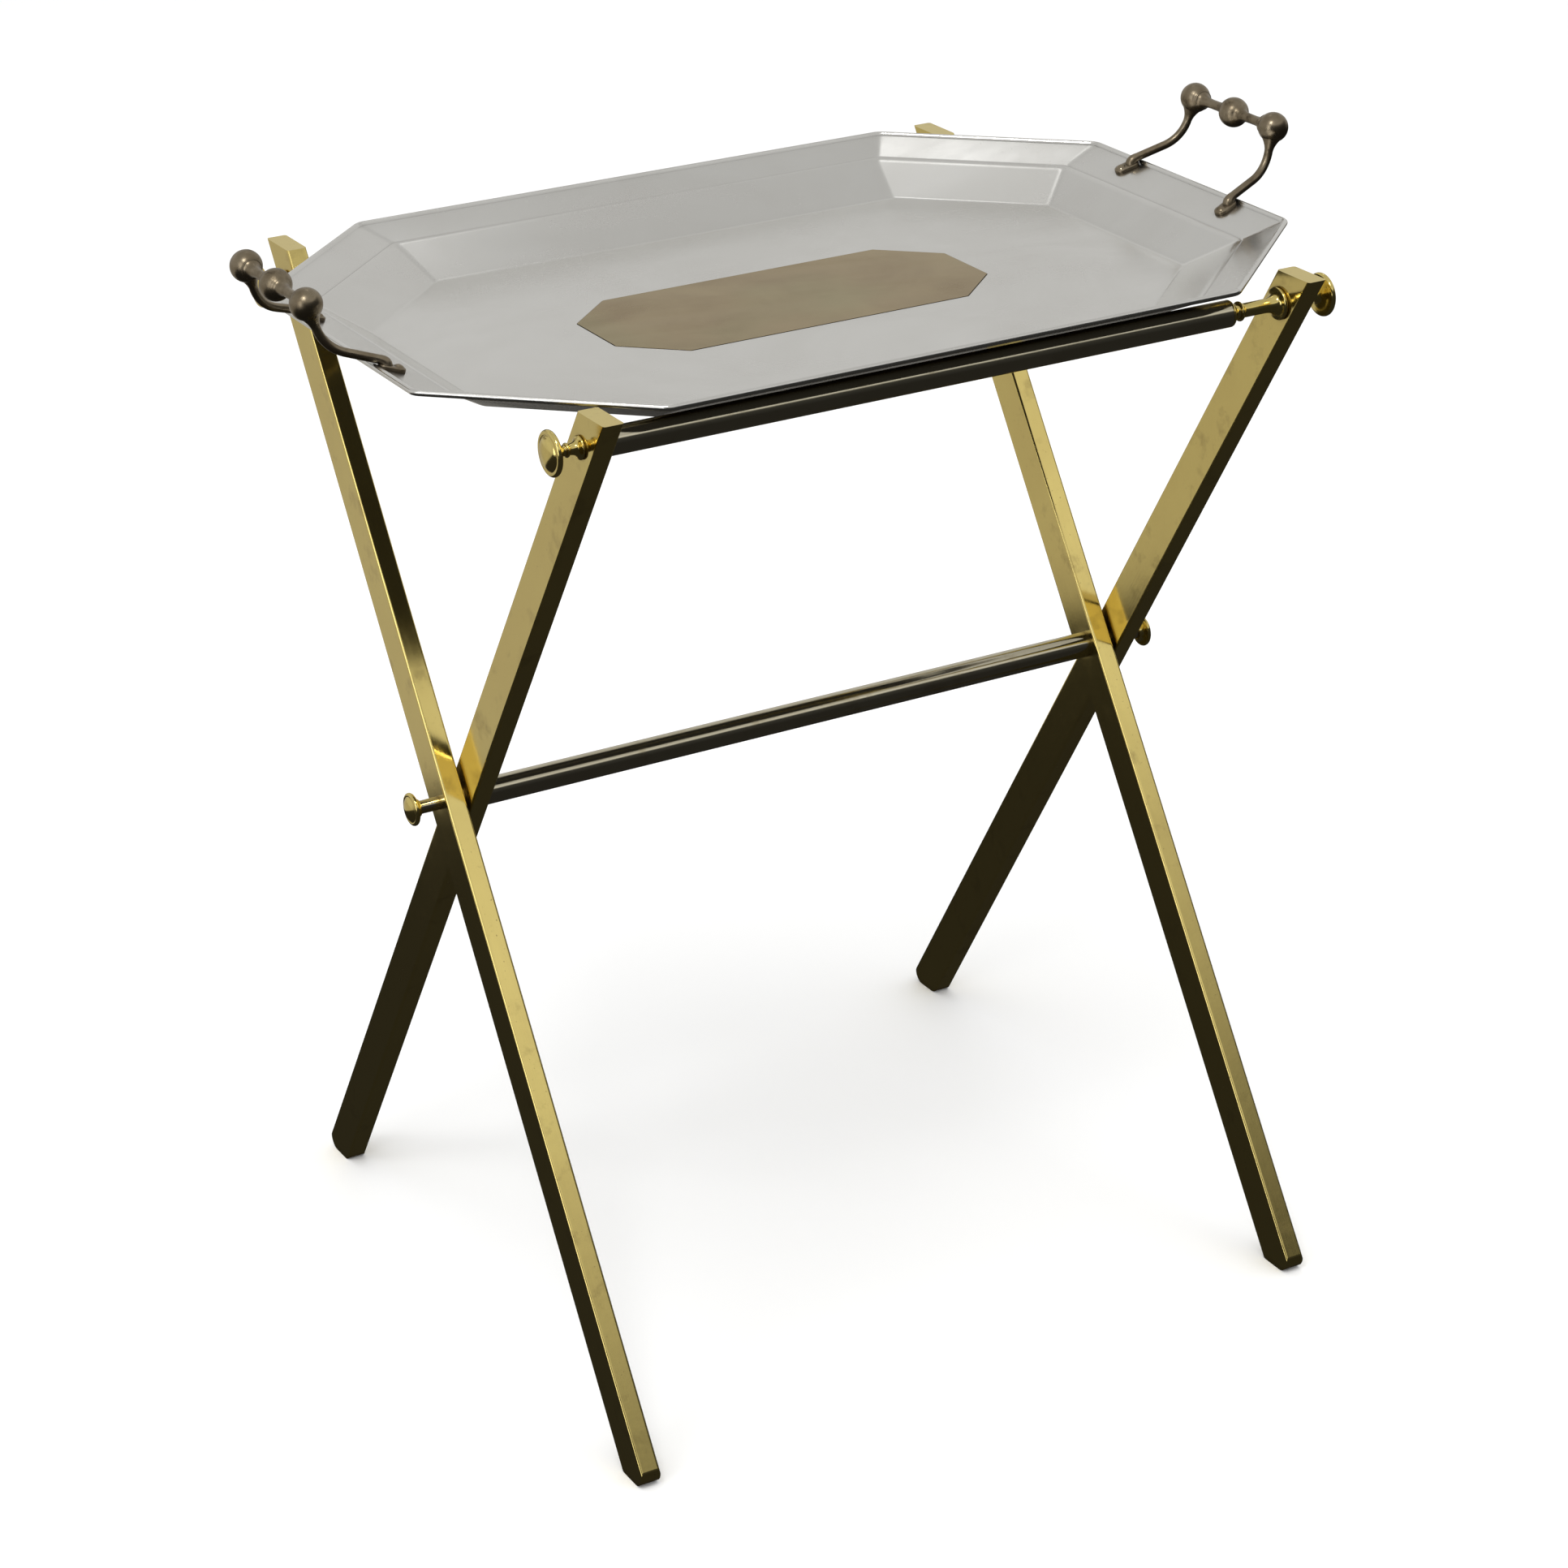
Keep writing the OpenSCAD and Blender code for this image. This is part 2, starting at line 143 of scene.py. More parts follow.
def arc(middle, radius, start, end, steps):
    """Points (r, h) on an arc, angles in degrees from the +r direction."""
    angles = [radians(start + (end - start) * k / steps) for k in range(steps + 1)]
    return [(middle[0] + radius * cos(a), middle[1] + radius * sin(a)) for a in angles]


def lathe(name, profile, origin, axis, body, slot, material, replaces=(), sides=64):
    """Turned piece: profile points are (radius, height) in millimetres along the axis."""
    turn = Vector((0, 0, 1)).rotation_difference(Vector(axis)).to_matrix().to_4x4()
    place = Matrix.Translation(origin) @ turn
    verts = []
    for radius, height in profile:
        for k in range(sides):
            angle = 2 * pi * k / sides
            spot = Vector((radius * cos(angle), radius * sin(angle), height)) * MM
            verts.append(place @ spot)
    faces = grid_faces(len(profile), sides)
    last = (len(profile) - 1) * sides
    faces.append(tuple(range(sides - 1, -1, -1)))
    faces.append(tuple(range(last, last + sides)))
    return make_piece(name, verts, faces, body, material, replaces, smooth_angle=35)


# ---------------------------------------------------------------- material helpers


class Shade:
    """A node tree with short calls for the nodes that the materials share."""

    def __init__(self, name):
        self.material = bpy.data.materials.new(name)
        self.material.use_nodes = True
        self.tree = self.material.node_tree
        self.surface = self.tree.nodes["Principled BSDF"]
        self.surface.inputs["Metallic"].default_value = 1.0
        self.coords = self.add("ShaderNodeTexCoord").outputs["Object"]

    def add(self, kind, **settings):
        item = self.tree.nodes.new(kind)
        for key, value in settings.items():
            setattr(item, key, value)
        return item

    def link(self, out, into):
        self.tree.links.new(out, into)

    def mapped(self, scale=(1, 1, 1), turn=(0, 0, 0)):
        """Object coordinates turned, then stretched."""
        turned = self.add("ShaderNodeMapping")
        turned.inputs["Rotation"].default_value = turn
        self.link(self.coords, turned.inputs["Vector"])
        stretched = self.add("ShaderNodeMapping")
        stretched.inputs["Scale"].default_value = scale
        self.link(turned.outputs["Vector"], stretched.inputs["Vector"])
        return stretched.outputs["Vector"]

    def noise(self, scale, detail=4, rough=0.55, coords=None, distortion=0.0):
        item = self.add("ShaderNodeTexNoise")
        item.inputs["Scale"].default_value = scale
        item.inputs["Detail"].default_value = detail
        item.inputs["Roughness"].default_value = rough
        item.inputs["Distortion"].default_value = distortion
        self.link(coords or self.coords, item.inputs["Vector"])
        return item.outputs["Fac"]

    def ranged(self, value, low, high, to_low=0.0, to_high=1.0):
        item = self.add("ShaderNodeMapRange")
        for key, number in zip(("From Min", "From Max", "To Min", "To Max"), (low, high, to_low, to_high)):
            item.inputs[key].default_value = number
        self.link(value, item.inputs["Value"])
        return item.outputs["Result"]

    def math(self, operation, a, b):
        item = self.add("ShaderNodeMath", operation=operation)
        for socket, value in zip(item.inputs, (a, b)):
            if isinstance(value, (int, float)):
                socket.default_value = value
            else:
                self.link(value, socket)
        return item.outputs["Value"]

    def blend(self, factor, a, b):
        """Colour mix of a and b, each a colour or an output."""
        item = self.add("ShaderNodeMix", data_type="RGBA")
        self.link(factor, item.inputs[0])
        for socket, value in ((item.inputs[6], a), (item.inputs[7], b)):
            if isinstance(value, tuple):
                socket.default_value = (*value, 1.0)
            else:
                self.link(value, socket)
        return item.outputs[2]

    def painted_shade_mask(self, distance):
        """Ambient occlusion mask for painted shade: 1 deep in corners and 0 in the open."""
        item = self.add("ShaderNodeAmbientOcclusion", samples=8, only_local=False)
        item.inputs["Distance"].default_value = distance
        return self.ranged(item.outputs["AO"], 0.35, 0.95, 1.0, 0.0)

    def bump(self, height, distance, strength=1.0, normal=None):
        item = self.add("ShaderNodeBump")
        item.inputs["Distance"].default_value = distance
        item.inputs["Strength"].default_value = strength
        self.link(height, item.inputs["Height"])
        if normal is not None:
            self.link(normal, item.inputs["Normal"])
        return item.outputs["Normal"]

    def finish(self, colour, roughness, normal):
        self.link(colour, self.surface.inputs["Base Color"])
        self.link(roughness, self.surface.inputs["Roughness"])
        self.link(normal, self.surface.inputs["Normal"])
        return self.material


BRASS = (0.86, 0.70, 0.25)
BRASS_WARM = (0.82, 0.655, 0.235)
# Dark tarnish colour, also used for the painted shade in corners.
BRASS_TARNISH_AND_SHADE = (0.34, 0.25, 0.10)
GOLD_TONES = (BRASS, BRASS_WARM)
GREY_TONES = ((0.68, 0.63, 0.48), (0.60, 0.55, 0.40))


def polished_brass(name, turn=(0, 0, 0), stretch=(1, 1, 0.02), gloss=0.09, age=1.0, tones=GOLD_TONES):
    """Old polished brass: buffing lines along the bar, hazy patches, tarnish spots, small pits and painted
    shade in corners.
    """
    s = Shade(name)
    lines = s.noise(1500, 3, 0.6, s.mapped(stretch, turn))
    haze = s.noise(14, 6, 0.62, distortion=0.4)
    blotch = s.noise(55, 5, 0.6)
    pits = s.noise(620, 2, 0.5)
    warm = s.blend(s.ranged(haze, 0.35, 0.7), *tones)
    spots = s.math("MULTIPLY", s.ranged(blotch, 0.56, 0.74), 0.35 * age)
    # Painted shade: ambient occlusion darkens corners and the gaps between parts.
    corners = s.math("MULTIPLY", s.painted_shade_mask(5 * MM), 0.75)
    specks = s.math("MULTIPLY", s.ranged(pits, 0.70, 0.76), 0.5 * age)
    tarnish_and_shade = s.math("MAXIMUM", s.math("MAXIMUM", spots, corners), specks)
    # Tarnish spots, pits and the painted corner shade all darken the colour towards the tarnish colour.
    colour = s.blend(tarnish_and_shade, warm, BRASS_TARNISH_AND_SHADE)
    roughness = s.math("ADD", s.ranged(haze, 0.3, 0.75, gloss, gloss + 0.07), s.math("MULTIPLY", tarnish_and_shade, 0.25))
    roughness = s.math("ADD", roughness, s.ranged(lines, 0.35, 0.7, 0.0, 0.03))
    normal = s.bump(lines, 0.03 * MM, 0.35)
    normal = s.bump(haze, 0.5 * MM, 0.12, normal)
    return s.finish(colour, roughness, normal)


def silver_plate(name):
    """Worn silver plate on sheet metal: soft waves, wiping streaks, faint hair scratches and painted grey
    shade in corners and creases.
    """
    s = Shade(name)
    waves = s.noise(5, 2, 0.5)
    clouds = s.noise(9, 6, 0.6, distortion=0.6)
    wiped = s.noise(30, 5, 0.6, s.mapped((0.22, 1, 1), (0, 0, radians(8))))
    scratches = None
    for angle in (7, 64, 118, 161):
        hair = s.noise(1100, 2, 0.5, s.mapped((0.010, 1, 1), (0, 0, radians(angle))))
        fine = s.ranged(hair, 0.66, 0.76)
        scratches = fine if scratches is None else s.math("MAXIMUM", scratches, fine)
    clean = s.blend(s.ranged(clouds, 0.35, 0.7), (0.87, 0.865, 0.84), (0.81, 0.80, 0.77))
    # Painted shade: grey in corners, creases and the flange groove, where ambient occlusion is high.
    corners = s.math("MULTIPLY", s.painted_shade_mask(7 * MM), 0.7)
    colour = s.blend(corners, clean, (0.30, 0.295, 0.28))
    roughness = s.ranged(clouds, 0.3, 0.75, 0.18, 0.25)
    roughness = s.math("ADD", roughness, s.ranged(wiped, 0.4, 0.7, 0.0, 0.05))
    roughness = s.math("ADD", roughness, s.math("MULTIPLY", scratches, 0.04))
    normal = s.bump(scratches, 0.004 * MM, 0.2)
    normal = s.bump(wiped, 0.1 * MM, 0.06, normal)
    normal = s.bump(waves, 2.5 * MM, 0.12, normal)
    return s.finish(colour, roughness, normal)


def inlay_brass(name):
    """Thin brass sheet let into the tray, browned and rubbed, with wide olive patches."""
    s = Shade(name)
    clouds = s.noise(16, 6, 0.6, distortion=0.5)
    rubbed = s.noise(60, 4, 0.6, s.mapped((0.12, 1, 1), (0, 0, radians(12))))
    hair = s.ranged(s.noise(1000, 2, 0.5, s.mapped((0.015, 1, 1), (0, 0, radians(20)))), 0.6, 0.72)
    patches = s.noise(7, 3, 0.5)
    colour = s.blend(s.ranged(clouds, 0.3, 0.72), (0.43, 0.33, 0.165), (0.35, 0.255, 0.13))
    colour = s.blend(s.math("MULTIPLY", s.ranged(patches, 0.42, 0.62), 0.6), colour, (0.37, 0.335, 0.16))
    # Painted shade: darker brown along the recess edges and corners.
    colour = s.blend(s.math("MULTIPLY", s.painted_shade_mask(4 * MM), 0.8), colour, (0.16, 0.12, 0.07))
    roughness = s.math("ADD", s.ranged(clouds, 0.3, 0.7, 0.14, 0.24), s.ranged(rubbed, 0.4, 0.7, 0.0, 0.08))
    normal = s.bump(hair, 0.01 * MM, 0.4)
    normal = s.bump(clouds, 0.8 * MM, 0.1, normal)
    return s.finish(colour, roughness, normal)


def aged_bronze(name):
    """Cast brass gone brown: painted shade dark in the hollows, random dark patina patches, lighter metal on
    the open curves.
    """
    s = Shade(name)
    clouds = s.noise(90, 6, 0.62)
    grain = s.noise(900, 3, 0.6)
    open_metal = s.blend(s.ranged(clouds, 0.35, 0.68), (0.33, 0.275, 0.195), (0.21, 0.165, 0.105))
    # Painted shade in the hollows, mixed with random dark patina patches.
    tarnish_and_shade = s.math("MAXIMUM", s.painted_shade_mask(5 * MM), s.ranged(clouds, 0.60, 0.78))
    colour = s.blend(tarnish_and_shade, open_metal, (0.05, 0.038, 0.025))
    roughness = s.math("ADD", s.ranged(clouds, 0.3, 0.7, 0.24, 0.40), s.math("MULTIPLY", tarnish_and_shade, 0.2))
    normal = s.bump(grain, 0.04 * MM, 0.5)
    normal = s.bump(clouds, 0.3 * MM, 0.3, normal)
    return s.finish(colour, roughness, normal)


LENGTHWISE_X = (0.02, 1, 1)
rear_leg_metal = polished_brass("rear leg brass", (LEG_LEAN, 0, 0))
front_leg_metal = polished_brass("front leg brass", (-LEG_LEAN, 0, 0))
tube_metal = polished_brass("tube brass", stretch=LENGTHWISE_X, gloss=0.07, tones=GREY_TONES)
turned_metal = polished_brass("turned brass", stretch=(1, 0.4, 0.4), gloss=0.10)
inner_metal = polished_brass("inner brass", stretch=LENGTHWISE_X, gloss=0.32, age=1.6)
plate_metal = silver_plate("silver plate")
inlay_metal = inlay_brass("inlay brass")
handle_metal = aged_bronze("handle bronze")

for node, thing in nodes.items():
    slot_name = next(p["material_slot"] for p in frame["record"]["subparts"] if p["node"] == node)
    metal = {
        "leg_brass": front_leg_metal if node.startswith("front") else rear_leg_metal,
        "tube_brass": tube_metal,
        "turned_brass": turned_metal,
        "inner_brass": inner_metal,
        "tray_plate": plate_metal,
        "inlay_brass": inlay_metal,
        "handle_bronze": handle_metal,
    }[slot_name]
    thing.data.materials.clear()
    thing.data.materials.append(metal)


def soften(node, width, segments=3):
    """Rounded edges on a CAD node, as a modifier."""
    edge = nodes[node].modifiers.new("softened edges", "BEVEL")
    edge.width = width
    edge.segments = segments
    edge.limit_method = "ANGLE"
    edge.angle_limit = radians(40)


for side in ("left", "right"):
    for end in ("rear", "front"):
        soften(f"{end}_cap_{side}", 0.35 * MM)
        soften(f"{end}_foot_{side}", 0.35 * MM)
soften("inlay_plate", 0.25 * MM)

# ---------------------------------------------------------------- tray

ARC_STEPS = 4


def octagon(ring):
    """Points of one tray ring with its eight corners slightly rounded."""
    a, b, scale, z = ring
    cut = CUT * scale
    corners = [
        (a, -b + cut.y), (a, b - cut.y), (a - cut.x, b), (-a + cut.x, b),
        (-a, b - cut.y), (-a, -b + cut.y), (-a + cut.x, -b), (a - cut.x, -b),
    ]
    reach = 4 * MM * scale
    points = []
    for k, corner in enumerate(corners):
        here = Vector(corner)
        before = here + (Vector(corners[k - 1]) - here).normalized() * reach
        after = here + (Vector(corners[(k + 1) % 8]) - here).normalized() * reach
        for p in bend(tuple(before), corner, tuple(after), ARC_STEPS):
            points.append((p[0], p[1], z))
    return points


def moved(ring, inset, rise):
    """A ring drawn in evenly on all eight sides and moved up."""
    shrink = (CUT.x + CUT.y - CUT.length) / (CUT.x * CUT.y)
    return (ring[0] - inset, ring[1] - inset, ring[2] - inset * shrink, ring[3] + rise)


def tray_rings():
    """Rings from the underside's middle, out round the rolled edge and back in to the inlay's recess."""
    under_well = moved(WELL, 0, -SHEET)
    under_crease = moved(CREASE, 0, -SHEET)
    bead = moved(RIM, BEAD_R, -1.02 * MM)
    flange_end = moved(RIM, 2 * BEAD_R, -1.32 * MM)
    under_end = moved(flange_end, 0, -SHEET * 0.55)
    rings = [mixed(under_well, (0.01, 0.01, 0.03, under_well[3]), 0.98)]
    rings += bend(mixed(under_well, rings[0], 0.02), under_well, mixed(under_well, under_crease, 0.1), 4)
    rings += bend(mixed(under_crease, under_well, 0.1), under_crease, mixed(under_crease, under_end, 0.1), 4)
    for k in range(15):
        turn = radians(-40 - 275 * k / 14)
        rings.append(moved(bead, cos(turn) * BEAD_R, sin(turn) * BEAD_R))
    groove = 5.0 * MM / FLANGE_RUN
    half = 0.8 * MM / FLANGE_RUN
    rings.append(flange_end)
    rings.append(mixed(CREASE, flange_end, groove + half))
    rings.append(moved(mixed(CREASE, flange_end, groove), 0, -0.65 * MM))
    rings.append(mixed(CREASE, flange_end, groove - half))
    rings += bend(mixed(CREASE, flange_end, 0.04), CREASE, mixed(CREASE, WELL, 0.04), 3)
    rings += bend(mixed(WELL, CREASE, 0.05), moved(WELL, 0, -0.12 * MM), mixed(WELL, INLAY, 0.015), 4)
    edge = moved(INLAY, -0.35 * MM, 0)
    rings += [moved(edge, -0.25 * MM, 0), moved(edge, 0, -0.15 * MM), moved(edge, 0, -INLAY_RECESS)]
    return rings


rings = tray_rings()
count = len(octagon(rings[0]))
verts = [p for ring in rings for p in octagon(ring)]
faces = grid_faces(len(rings), count)
faces.append(tuple(range(count - 1, -1, -1)))
faces.append(tuple(range((len(rings) - 1) * count, len(rings) * count)))
make_piece("tray_shell", verts, faces, "tray", plate_metal, ["tray_body"], 60)

# ---------------------------------------------------------------- handles

GRIP_X = centre("handle_grip_right").x
GRIP_Z = centre("handle_grip_right").z
BALL_R = 9.3
BALL_STEP = 41.0
NECK_R = 2.9
PAD = Vector((277.5, 53.0, 0)) * MM
FLANGE = atan2(FLANGE_RISE, FLANGE_RUN)
PAD.z = CREASE[3] + (PAD.x - CREASE[0]) * FLANGE_RISE / FLANGE_RUN + 0.03 * MM


def grip_profile():
    """Half of the three-ball bar, from its middle out, as (radius, distance)."""
    half = arc((0, 0), BALL_R, 0, 54, 10)
    half += bend((5.2, 8.2), (3.2, 9.4), (NECK_R, 16), 8)
    half += bend((NECK_R, BALL_STEP - 18), (3.0, BALL_STEP - 10.8), (5.6, BALL_STEP - 8.9), 8)
    half += arc((5.5, BALL_STEP - 8.2), 0.7, -90, 60, 4)
    half += arc((0, BALL_STEP), BALL_R, -50, 88, 24)
    return half


def full_profile():
    half = grip_profile()
    return [(r, -h) for r, h in reversed(half[1:])] + half


for side, name in ((-1, "left"), (1, "right")):
    lathe(
        f"grip_{name}", full_profile(), Vector((side * GRIP_X, 0, GRIP_Z)), (0, 1, 0),
        "tray", "handle_bronze", handle_metal, [f"handle_grip_{name}"],
    )

ARM_LIFT = 4.4
ARM_SWEEP = radians(54)
ARM_END = 15.0
ARM_SEAT = 7.5
ARM_R = 2.6


def arm_path():
    """Middle line of an arm over the flange as (along, up, radius), in millimetres, and its splay."""
    run = (GRIP_X - PAD.x) / MM
    rise = (GRIP_Z - PAD.z) / MM
    along = sqrt((run * cos(FLANGE) + rise * sin(FLANGE)) ** 2 + (PAD.y / MM - BALL_STEP) ** 2)
    up = rise * cos(FLANGE) - run * sin(FLANGE)
    radius = (up - ARM_LIFT - ARM_END * sin(ARM_SWEEP)) / (1 - cos(ARM_SWEEP))
    start = along - radius * sin(ARM_SWEEP) - ARM_END * cos(ARM_SWEEP)
    points = [(3.3, 0.6, 4.2)]
    points += bend((3.5, 1.6, 4.0), (3.7, ARM_LIFT, 3.1), (8.6, ARM_LIFT, ARM_R), 8)
    steps = 16
    for k in range(steps + 1):
        angle = ARM_SWEEP * k / steps
        points.append((start + radius * sin(angle), ARM_LIFT + radius * (1 - cos(angle)), ARM_R))
    for k in range(1, 9):
        t = k / 8
        back = ARM_END + (ARM_SEAT - ARM_END) * t
        flare = ARM_R + (5.4 - ARM_R) * t ** 1.8
        points.append((along - back * cos(ARM_SWEEP), up - back * sin(ARM_SWEEP), flare))
    return points, (PAD.y / MM - BALL_STEP) / along


def swept_tube(points, sides=24):
    """Tube along points in the x-z plane, as (vertices, faces)."""
    verts = []
    for k, (x, z, radius) in enumerate(points):
        near = points[max(k - 1, 0)]
        far = points[min(k + 1, len(points) - 1)]
        ahead = Vector((far[0] - near[0], 0, far[1] - near[1])).normalized()
        across = Vector((0, 1, 0))
        up = across.cross(ahead)
        for j in range(sides):
            angle = 2 * pi * j / sides
            verts.append(Vector((x, 0, z)) + (across * cos(angle) + up * sin(angle)) * radius)
    faces = grid_faces(len(points), sides)
    faces.append(tuple(range(sides - 1, -1, -1)))
    faces.append(tuple(range((len(points) - 1) * sides, len(points) * sides)))
    return verts, faces


def pad_mesh():
    """Rounded foot of an arm: an oval slab with a soft upper edge, as (vertices, faces)."""
    half_len, half_wid, thick = 8.0, 4.6, 2.4
    outline = 32
    levels = [(0.0, 0.0), (0.0, thick - 0.9)]
    levels += [(0.9 * (1 - cos(a)), thick - 0.9 + 0.9 * sin(a)) for a in (pi / 6, pi / 3, pi / 2)]
    levels += [(2.4, thick + 0.25)]
    verts = []
    for inset, z in levels:
        for k in range(outline):
            angle = 2 * pi * (k + 0.5) / outline
            reach = half_wid - inset
            shift = (half_len - half_wid) * (1 if cos(angle) > 0 else -1)
            verts.append(Vector((shift + reach * cos(angle), reach * sin(angle), z)))
    faces = grid_faces(len(levels), outline)
    faces.append(tuple(range(outline - 1, -1, -1)))
    faces.append(tuple(range((len(levels) - 1) * outline, len(levels) * outline)))
    return verts, faces


def build_arm(name, side_x, side_y):
    points, splay_sine = arm_path()
    tube_verts, tube_faces = swept_tube(points)
    pad_verts, pad_faces = pad_mesh()
    verts = tube_verts + pad_verts
    faces = tube_faces + [tuple(i + len(tube_verts) for i in face) for face in pad_faces]
    splay = atan2(splay_sine, sqrt(1 - splay_sine ** 2))
    place = Matrix.Translation(PAD) @ Matrix.Rotation(-FLANGE, 4, "Y") @ Matrix.Rotation(-splay, 4, "Z")
    flip = Matrix.Diagonal((side_x, side_y, 1, 1))
    spots = [flip @ (place @ (v * MM)) for v in verts]
    if side_x * side_y < 0:
        faces = [tuple(reversed(face)) for face in faces]
    make_piece(f"{name}_cast", spots, faces, "tray", handle_metal, [name], 50)


for side_x, word_x in ((-1, "left"), (1, "right")):
    for side_y, word_y in ((-1, "front"), (1, "rear")):
        build_arm(f"arm_{word_x}_{word_y}", side_x, side_y)

# ---------------------------------------------------------------- turned pieces of the stand


def knob_profile():
    """Tray rod knob from the leg outwards."""
    points = [(5.8, 0.0)] + arc((5.9, 0.9), 0.9, -90, 90, 6)
    points += [(5.2, 2.2)]
    points += bend((5.2, 2.3), (3.1, 3.2), (3.0, 7.4), 8)
    points += arc((3.0, 8.5), 1.1, -90, 90, 6)
    points += bend((2.9, 9.8), (2.8, 14.2), (7.6, 15.4), 10)
    points += bend((8.0, 15.5), (10.4, 15.6), (11.4, 16.0), 4)
    points += arc((11.3, 17.7), 1.7, -80, 90, 10)
    points += [(10.4, 19.3), (10.1, 19.1)]
    points += bend((9.8, 19.2), (7.2, 22.1), (0.02, 22.5), 14)
    return points


def pivot_knob_profile():
    points = [(5.0, 0.0)] + bend((5.2, 0.1), (5.4, 1.8), (7.0, 2.8), 6)
    points += arc((8.5, 4.4), 1.5, -80, 90, 10)
    points += [(8.0, 5.8), (7.8, 5.7)]
    points += bend((7.6, 5.8), (5.2, 8.0), (0.02, 8.3), 12)
    return points


def spool_profile(length):
    """Spacer between a tray rod and its outer leg: collar, slim neck, small bead and flare."""
    half = length / 2
    points = [(9.2, -half)] + arc((8.6, 1.3 - half), 1.2, -75, 75, 7)
    points += bend((8.3, 2.7 - half), (4.6, 3.2 - half), (4.2, 10.5 - half), 9)
    points += bend((4.2, half - 12), (4.2, half - 10), (5.0, half - 9.6), 3)
    points += arc((4.9, half - 8.6), 1.0, -80, 80, 6)
    points += bend((4.6, half - 7.5), (4.6, half - 3.6), (6.8, half - 2.6), 8)
    points += arc((6.9, half - 1.2), 1.1, -80, 90, 6)
    return points


def collar_profile():
    return (
        [(6.0, -3.0), (7.9, -3.0)]
        + bend((8.0, -2.9), (8.3, -2.0), (9.0, -1.9), 4)
        + arc((8.4, -1.1), 0.95, -30, 60, 6)
        + [(8.6, -0.02), (6.0, 0.0)]
    )


SPOOL_END = abs(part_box("rear_rod_tube")[0][0])
SPOOL_LEN = (OUTER_X - SPOOL_END) / MM

for frame_name, turn in (("rear", 1), ("front", -1)):
    body = f"{frame_name}_frame"
    outer, inner = ("left", "right") if turn > 0 else ("right", "left")
    rod = Vector((0, turn * ROD.y, ROD.z))
    metal = (body, "turned_brass", turned_metal)

    def on_rod(x):
        return Vector((turn * x, rod.y, rod.z))

    lathe(
        f"{frame_name}_knob_{outer}_turned", knob_profile(), on_rod(-STAND_HALF), (-turn, 0, 0),
        *metal, [f"{frame_name}_knob_{outer}"],
    )
    lathe(
        f"{frame_name}_knob_{inner}_turned", knob_profile(), on_rod(INNER_FACE), (turn, 0, 0),
        *metal, [f"{frame_name}_knob_{inner}"],
    )
    lathe(
        f"{frame_name}_spool_turned", spool_profile(SPOOL_LEN), on_rod(-(OUTER_X + SPOOL_END) / 2),
        (turn, 0, 0), *metal, [f"{frame_name}_rod_spool"],
    )
    lathe(
        f"{frame_name}_collar_turned", collar_profile(), on_rod(INNER_X), (turn, 0, 0),
        *metal, [f"{frame_name}_rod_collar"],
    )

for side, name in ((-1, "left"), (1, "right")):
    hub = min(abs(v) for v in (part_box(f"pivot_knob_{name}")[0][0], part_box(f"pivot_knob_{name}")[1][0]))
    lathe(
        f"pivot_knob_{name}_turned", pivot_knob_profile(), Vector((side * hub, 0, PIVOT_Z)),
        (side, 0, 0), "rear_frame", "turned_brass", turned_metal, [f"pivot_knob_{name}"],
    )

# ---------------------------------------------------------------- studio

FLOOR_HALF = 9.0
floor_mesh = bpy.data.meshes.new("floor")
floor_mesh.from_pydata(
    [(x * FLOOR_HALF, y * FLOOR_HALF, cad_box[0][2]) for x, y in ((-1, -1), (1, -1), (1, 1), (-1, 1))],
    [], [(0, 1, 2, 3)],
)
floor = bpy.data.objects.new("floor", floor_mesh)
bpy.context.scene.collection.objects.link(floor)


def floor_material():
    """Pale floor; polished metal sees it as a dark mat with a light floor behind it."""
    material = bpy.data.materials.new("pale floor")
    material.use_nodes = True
    tree = material.node_tree
    pale = tree.nodes["Principled BSDF"]
    pale.inputs["Base Color"].default_value = (0.95, 0.95, 0.945, 1)
    pale.inputs["Roughness"].default_value = 0.9
    coords = tree.nodes.new("ShaderNodeTexCoord")
    along = tree.nodes.new("ShaderNodeVectorMath")
    along.operation = "DOT_PRODUCT"
    along.inputs[1].default_value = (-0.16, 0.987, 0)
    tree.links.new(coords.outputs["Object"], along.inputs[0])
    ramp = tree.nodes.new("ShaderNodeMapRange")
    ramp.interpolation_type = "SMOOTHSTEP"
    for key, value in zip(("From Min", "From Max", "To Min", "To Max"), (0.75, 0.83, 0.025, 0.46)):
        ramp.inputs[key].default_value = value
    tree.links.new(along.outputs["Value"], ramp.inputs["Value"])
    seen = tree.nodes.new("ShaderNodeEmission")
    seen.inputs["Color"].default_value = (1.0, 0.96, 0.88, 1)
    tree.links.new(ramp.outputs["Result"], seen.inputs["Strength"])
    path = tree.nodes.new("ShaderNodeLightPath")
    mix = tree.nodes.new("ShaderNodeMixShader")
    tree.links.new(path.outputs["Is Glossy Ray"], mix.inputs["Fac"])
    tree.links.new(pale.outputs["BSDF"], mix.inputs[1])
    tree.links.new(seen.outputs["Emission"], mix.inputs[2])
    tree.links.new(mix.outputs["Shader"], tree.nodes["Material Output"].inputs["Surface"])
    return material


floor_mesh.materials.append(floor_material())


# Brightness of the room in reflections against the sine of the elevation
BEHIND = ((0.0, 0.56), (0.3, 0.60), (0.5, 0.58), (0.62, 0.51), (0.86, 0.49), (0.95, 0.54), (1.0, 0.58))
IN_FRONT = ((0.0, 0.03), (0.42, 0.05), (0.49, 0.50), (0.55, 0.84), (0.67, 0.54), (1.0, 0.58))


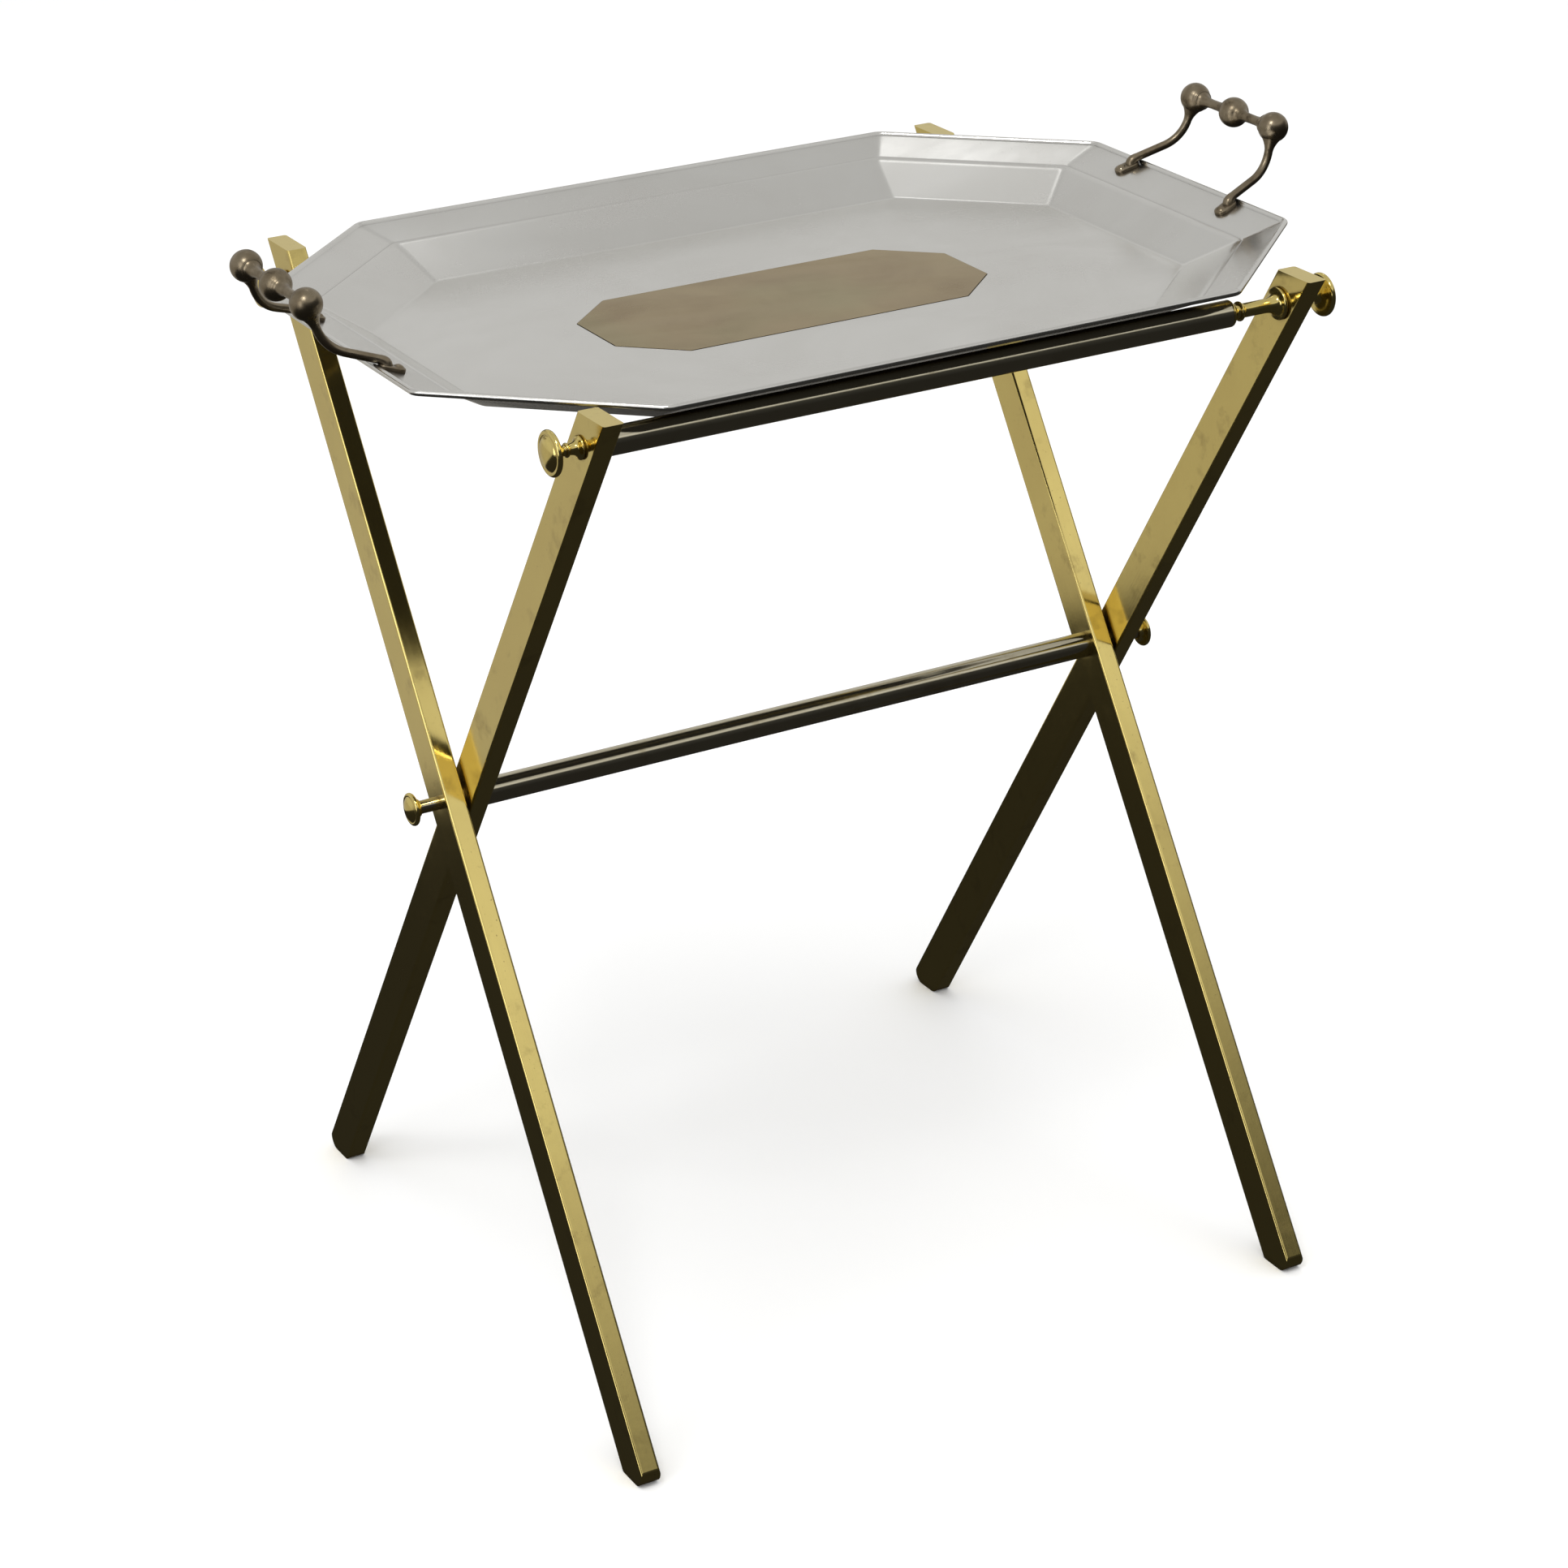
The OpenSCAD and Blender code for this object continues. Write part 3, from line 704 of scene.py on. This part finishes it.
def studio_world():
    """White to the eye; in reflections a pale room behind the stand and a darker one before it."""
    world = bpy.data.worlds.new("studio")
    bpy.context.scene.world = world
    world.use_nodes = True
    tree = world.node_tree
    back = tree.nodes["Background"]
    coords = tree.nodes.new("ShaderNodeTexCoord")
    split = tree.nodes.new("ShaderNodeSeparateXYZ")
    tree.links.new(coords.outputs["Generated"], split.inputs["Vector"])

    def height_ramp(stops):
        ramp = tree.nodes.new("ShaderNodeValToRGB")
        ramp.color_ramp.elements[0].position = stops[0][0]
        ramp.color_ramp.elements[1].position = stops[-1][0]
        for position, value in stops[1:-1]:
            ramp.color_ramp.elements.new(position)
        for element, (position, value) in zip(ramp.color_ramp.elements, stops):
            element.color = (value, value * 0.99, value * 0.965, 1)
        tree.links.new(split.outputs["Z"], ramp.inputs["Fac"])
        return ramp.outputs["Color"]

    depth = tree.nodes.new("ShaderNodeMapRange")
    depth.interpolation_type = "SMOOTHSTEP"
    depth.inputs["From Min"].default_value = -0.35
    depth.inputs["From Max"].default_value = 0.15
    tree.links.new(split.outputs["Y"], depth.inputs["Value"])
    room = tree.nodes.new("ShaderNodeMix")
    room.data_type = "RGBA"
    tree.links.new(depth.outputs["Result"], room.inputs[0])
    tree.links.new(height_ramp(IN_FRONT), room.inputs[6])
    tree.links.new(height_ramp(BEHIND), room.inputs[7])
    path = tree.nodes.new("ShaderNodeLightPath")
    plain = tree.nodes.new("ShaderNodeMath")
    plain.operation = "MAXIMUM"
    tree.links.new(path.outputs["Is Camera Ray"], plain.inputs[0])
    tree.links.new(path.outputs["Is Diffuse Ray"], plain.inputs[1])
    mix = tree.nodes.new("ShaderNodeMix")
    mix.data_type = "RGBA"
    tree.links.new(plain.outputs["Value"], mix.inputs[0])
    tree.links.new(room.outputs[2], mix.inputs[6])
    mix.inputs[7].default_value = (1.0, 1.0, 1.0, 1)
    tree.links.new(mix.outputs[2], back.inputs["Color"])


studio_world()


def soft_light(name, spot, aim, size, power, mirrored=False):
    """Area light; only a mirrored one shows up in the metal's reflections."""
    data = bpy.data.lights.new(name, "AREA")
    data.shape = "RECTANGLE"
    data.size, data.size_y = size
    data.energy = power
    light = bpy.data.objects.new(name, data)
    light.location = spot
    light.rotation_euler = (Vector(aim) - Vector(spot)).to_track_quat("-Z", "Y").to_euler()
    light.visible_glossy = mirrored
    bpy.context.scene.collection.objects.link(light)


TRAY_MIDDLE = Vector((0, 0, RIM_Z))
TRAY_REAR_RIGHT = (0.2, 0.15, RIM_Z)
soft_light("overhead", (0.0, -0.6, 3.6), TRAY_MIDDLE, (3.2, 3.2), 40)
soft_light("side", (-2.9, -1.2, 1.35), (0, 0, 0.35), (1.3, 1.9), 14, mirrored=True)
soft_light("key", (-1.35, -1.05, 2.9), (0, 0, 0.5), (0.5, 0.5), 14, mirrored=True)
# Puts the bright strip on the tray's rear right corner
soft_light(
    "rear window", (0.48, 1.09, PIVOT_Z + 2.05), TRAY_REAR_RIGHT, (0.42, 0.24), 0.35, mirrored=True,
)

# ---------------------------------------------------------------- camera

PIVOT = Vector((0, 0, PIVOT_Z))
EYE = PIVOT + Vector((-1.15634, -2.04610, 1.02343))
AHEAD = Vector((0.45334, 0.80580, -0.38101))
UP = Vector((0.20382, 0.32241, 0.92440))
camera_data = bpy.data.cameras.new("camera")
camera_data.sensor_width = 36
camera_data.lens = 96.16
camera_data.shift_y = -0.0963
camera_data.clip_end = 50
camera = bpy.data.objects.new("camera", camera_data)
right = AHEAD.cross(UP).normalized()
up = right.cross(AHEAD).normalized()
camera.matrix_world = Matrix.Translation(EYE) @ Matrix((right, up, -AHEAD.normalized())).transposed().to_4x4()
bpy.context.scene.collection.objects.link(camera)
bpy.context.scene.camera = camera
bpy.context.scene.view_settings.view_transform = "Standard"
